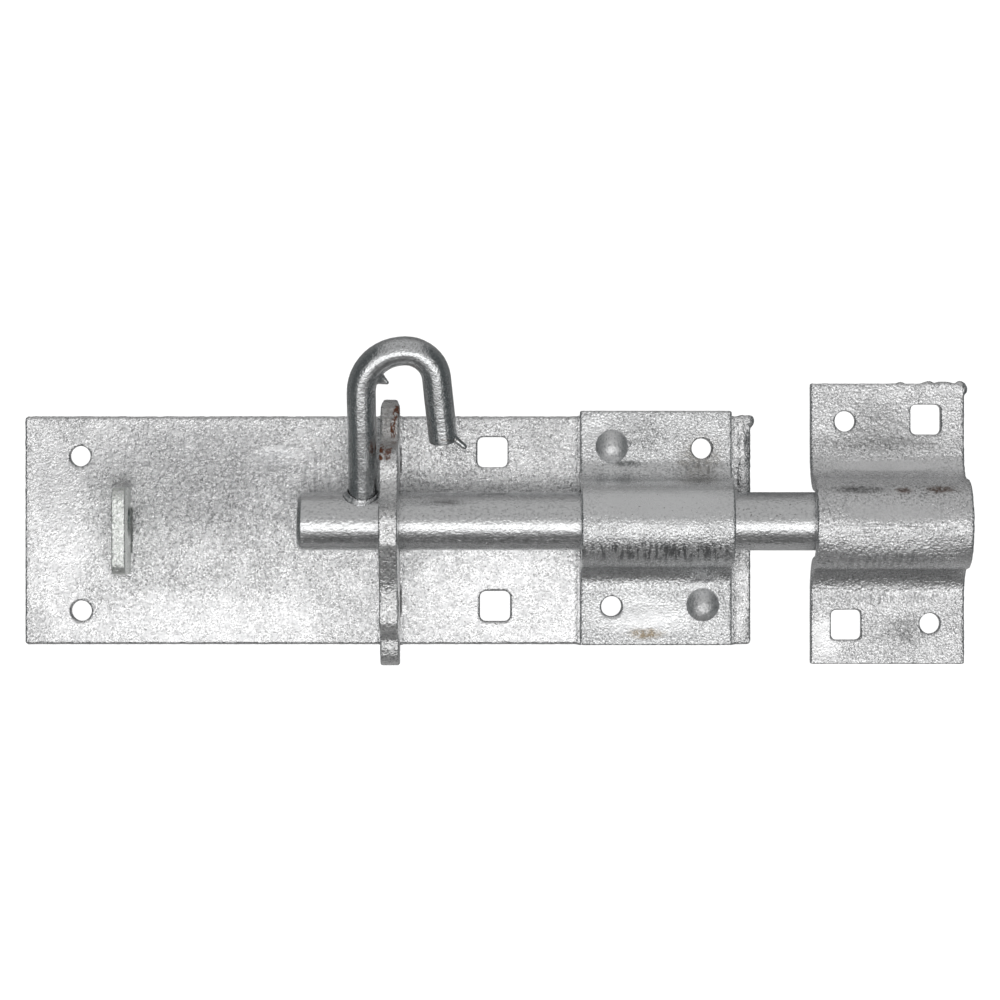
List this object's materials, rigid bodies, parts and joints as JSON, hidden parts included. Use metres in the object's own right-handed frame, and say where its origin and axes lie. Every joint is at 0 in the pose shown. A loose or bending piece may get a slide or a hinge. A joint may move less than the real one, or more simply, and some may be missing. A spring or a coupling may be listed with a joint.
{
  "type": "padlock barrel bolt",
  "caption": "Galvanised steel barrel bolt: round rod in a riveted guide strap on a backplate, with a hooked swing handle, a padlock bracket, a stop lug and a separate keeper.",
  "frame": {"origin": "centre of the backplate's back face", "axes": "+X is the way the bolt shoots, +Y runs across the backplate, +Z points away from the gate"},
  "size_m": [0.2629, 0.0904, 0.0353],
  "materials": {
    "plate": "rough hot-dip zinc, pale and grained",
    "strap": "hot-dip zinc, speckled",
    "rivet": "hot-dip zinc, smooth",
    "bracket": "hot-dip zinc with rust streaks",
    "lug": "hot-dip zinc, slightly green",
    "rod": "smooth bright zinc, drawn along its length",
    "hook": "smooth bright zinc",
    "weld": "zinc over a weld bead",
    "keeper": "hot-dip zinc, speckled, with scratches"
  },
  "bodies": {
    "plate": {"backplate": "plate", "guide_strap": "strap", "strap_rivet_upper": "rivet", "strap_rivet_lower": "rivet", "padlock_bracket": "bracket", "stop_lug": "lug", "keeper": "keeper"},
    "rod": {"bolt_rod": "rod"},
    "handle": {"hook_handle": "hook", "hook_weld": "weld"}
  },
  "joints": [
    {"name": "bolt_slide", "type": "slide", "parent": "plate", "child": "rod", "axis": [1, 0, 0], "range_m": [-0.0465, 0]},
    {"name": "hook_swing", "type": "hinge", "parent": "rod", "child": "handle", "pos_m": [-0.0065, 0.0026, 0.0126], "axis": [1, 0, 0], "range_deg": [-30, 165]}
  ]
}
